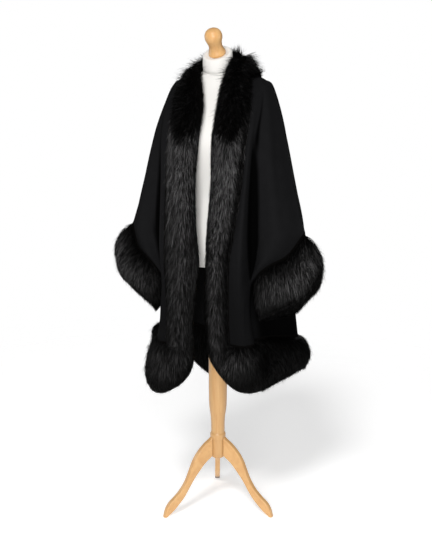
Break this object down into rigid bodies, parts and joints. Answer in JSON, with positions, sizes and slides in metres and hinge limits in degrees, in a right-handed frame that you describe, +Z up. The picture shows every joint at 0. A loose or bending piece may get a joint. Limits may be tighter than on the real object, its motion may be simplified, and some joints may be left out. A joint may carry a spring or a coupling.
{
  "type": "fur-trimmed poncho cape on a tripod dress form",
  "caption": "Open-front wool poncho cape with a thick fur edge and wide fur-cuffed sleeve mouths, draped over a limbless dress form on a turned post with three curved legs.",
  "frame": {"origin": "on the floor, under the middle of the whole object's box; the post stands 25 mm in front of it", "axes": "+Z up the post, -Y towards the open front, +X towards the wearer's left"},
  "size_m": [0.7754, 0.4798, 1.7017],
  "materials": {
    "cape_cloth": "soft brushed wool, matte",
    "fur_trim": "long glossy hair",
    "form_jersey": "matte knitted jersey",
    "light_wood": "satin varnish"
  },
  "bodies": {
    "root": {"back": "cape_cloth", "front_left": "cape_cloth", "front_right": "cape_cloth", "fur_collar": "fur_trim", "fur_front_left": "fur_trim", "fur_front_right": "fur_trim", "fur_hem": "fur_trim", "fur_cuff_left": "fur_trim", "fur_cuff_right": "fur_trim", "torso": "form_jersey", "neck_band": "form_jersey", "knob": "light_wood", "post": "light_wood", "boss": "light_wood", "leg_left": "light_wood", "leg_back": "light_wood", "leg_right": "light_wood"}
  },
  "joints": []
}
